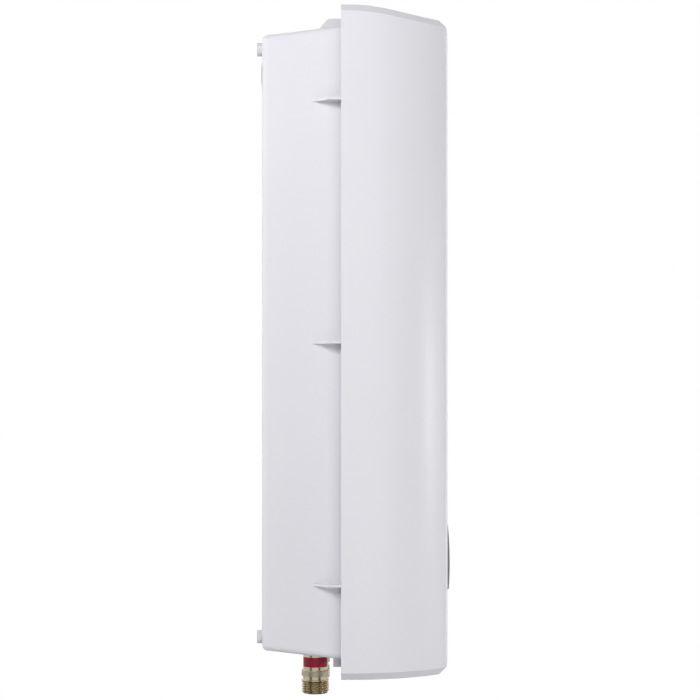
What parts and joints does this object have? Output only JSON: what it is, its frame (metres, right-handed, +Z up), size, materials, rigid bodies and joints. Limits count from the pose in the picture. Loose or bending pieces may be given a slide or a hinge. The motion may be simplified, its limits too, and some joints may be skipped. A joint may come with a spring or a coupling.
{
  "type": "electric tankless water heater",
  "caption": "Wall-hung electric instantaneous water heater: tapered case, deep lift-off cover with round display, and two threaded water nipples below.",
  "frame": {"origin": "middle of the four wall fixings, in the wall plane behind the pads", "axes": "+Z up; the front faces -Y; +X to the right as seen from the front"},
  "size_m": [0.236, 0.1456, 0.5073],
  "materials": {
    "case_white": "satin moulded",
    "cover_white": "satin moulded",
    "pad_white": "satin moulded",
    "brass": "turned",
    "red_plastic": "satin moulded",
    "blue_plastic": "satin moulded",
    "steel": "zinc plated",
    "grey_rubber": "moulded",
    "black_rubber": "moulded",
    "copper": "drawn tube",
    "block_grey": "glass fibre filled",
    "element_steel": "annealed",
    "board_green": "lacquered",
    "component_black": "moulded",
    "transformer_wrap": "tape wrapped",
    "capacitor_sleeve": "shrink sleeve",
    "connector_green": "moulded",
    "ribbon_grey": "flat cable",
    "aluminium": "extruded",
    "button_red": "satin moulded",
    "filter_white": "moulded",
    "lens_black": "smoked, polished",
    "housing_grey": "moulded",
    "display_glass": "polished",
    "terminal_white": "moulded",
    "wire_brown": "extruded",
    "wire_earth": "extruded, striped",
    "wire_black": "extruded"
  },
  "bodies": {
    "case": {"base_screws": "steel", "block_cap": "steel", "block_cap_screws": "steel", "block_cap_seal": "black_rubber", "board_connectors": "connector_green", "board_spacers": "steel", "board_transformer": "transformer_wrap", "cable_clamp": "housing_grey", "cable_grommet": "black_rubber", "capacitors": "capacitor_sleeve", "cold_nipple": "brass", "cold_ring": "blue_plastic", "control_column": "housing_grey", "control_housing": "housing_grey", "cooling_plate": "aluminium", "display_board": "board_green", "display_lens": "lens_black", "display_module": "display_glass", "earth_wire": "wire_earth", "element_nuts": "brass", "element_wires": "wire_black", "flow_pickup": "component_black", "flow_sensor_body": "component_black", "heating_block": "block_grey", "heating_elements": "element_steel", "hot_nipple": "brass", "hot_ring": "red_plastic", "inlet_filter": "filter_white", "inlet_pipe": "copper", "nipple_bracket": "steel", "nipple_nuts": "brass", "nipple_sleeves": "grey_rubber", "outlet_pipe": "copper", "phase_wires": "wire_brown", "power_board": "board_green", "pressure_limiter": "brass", "rear_case": "case_white", "ribbon_cable": "ribbon_grey", "safety_relay": "component_black", "shutoff_valve_body": "brass", "small_screws": "steel", "star_bridge": "copper", "temperature_sensors": "brass", "terminal_block": "terminal_white", "terminal_screws": "brass", "thermal_cutout": "component_black", "triacs": "component_black", "turbine_bearings": "filter_white", "union_nuts": "brass", "union_washers": "black_rubber", "wall_pads": "pad_white"},
    "cover": {"front_cover": "cover_white", "cover_screws": "steel", "cover_screw_nuts": "steel"},
    "turbine": {"turbine_rotor": "filter_white", "rotor_shaft": "steel"},
    "shutoff": {"shutoff_ball": "steel", "shutoff_spindle": "brass"},
    "cutout_button": {"cutout_reset_button": "button_red"},
    "limiter_button": {"limiter_reset_button": "button_red"}
  },
  "joints": [
    {"name": "cover_lift", "type": "slide", "parent": "case", "child": "cover", "axis": [0, -1, 0], "range_m": [0, 0.16]},
    {"name": "turbine_spin", "type": "hinge", "parent": "case", "child": "turbine", "pos_m": [0.035, -0.0413, -0.138], "axis": [0, 0, 1], "continuous": true},
    {"name": "shutoff_turn", "type": "hinge", "parent": "case", "child": "shutoff", "pos_m": [0.035, -0.0413, -0.181], "axis": [0, 1, 0], "range_deg": [0, 90]},
    {"name": "cutout_reset", "type": "slide", "parent": "case", "child": "cutout_button", "axis": [0, 1, 0], "range_m": [0, 0.0015], "stiffness_N_per_m": 600, "springref_m": -0.001},
    {"name": "limiter_reset", "type": "slide", "parent": "case", "child": "limiter_button", "axis": [0, 1, 0], "range_m": [0, 0.0015], "stiffness_N_per_m": 600, "springref_m": -0.001}
  ]
}
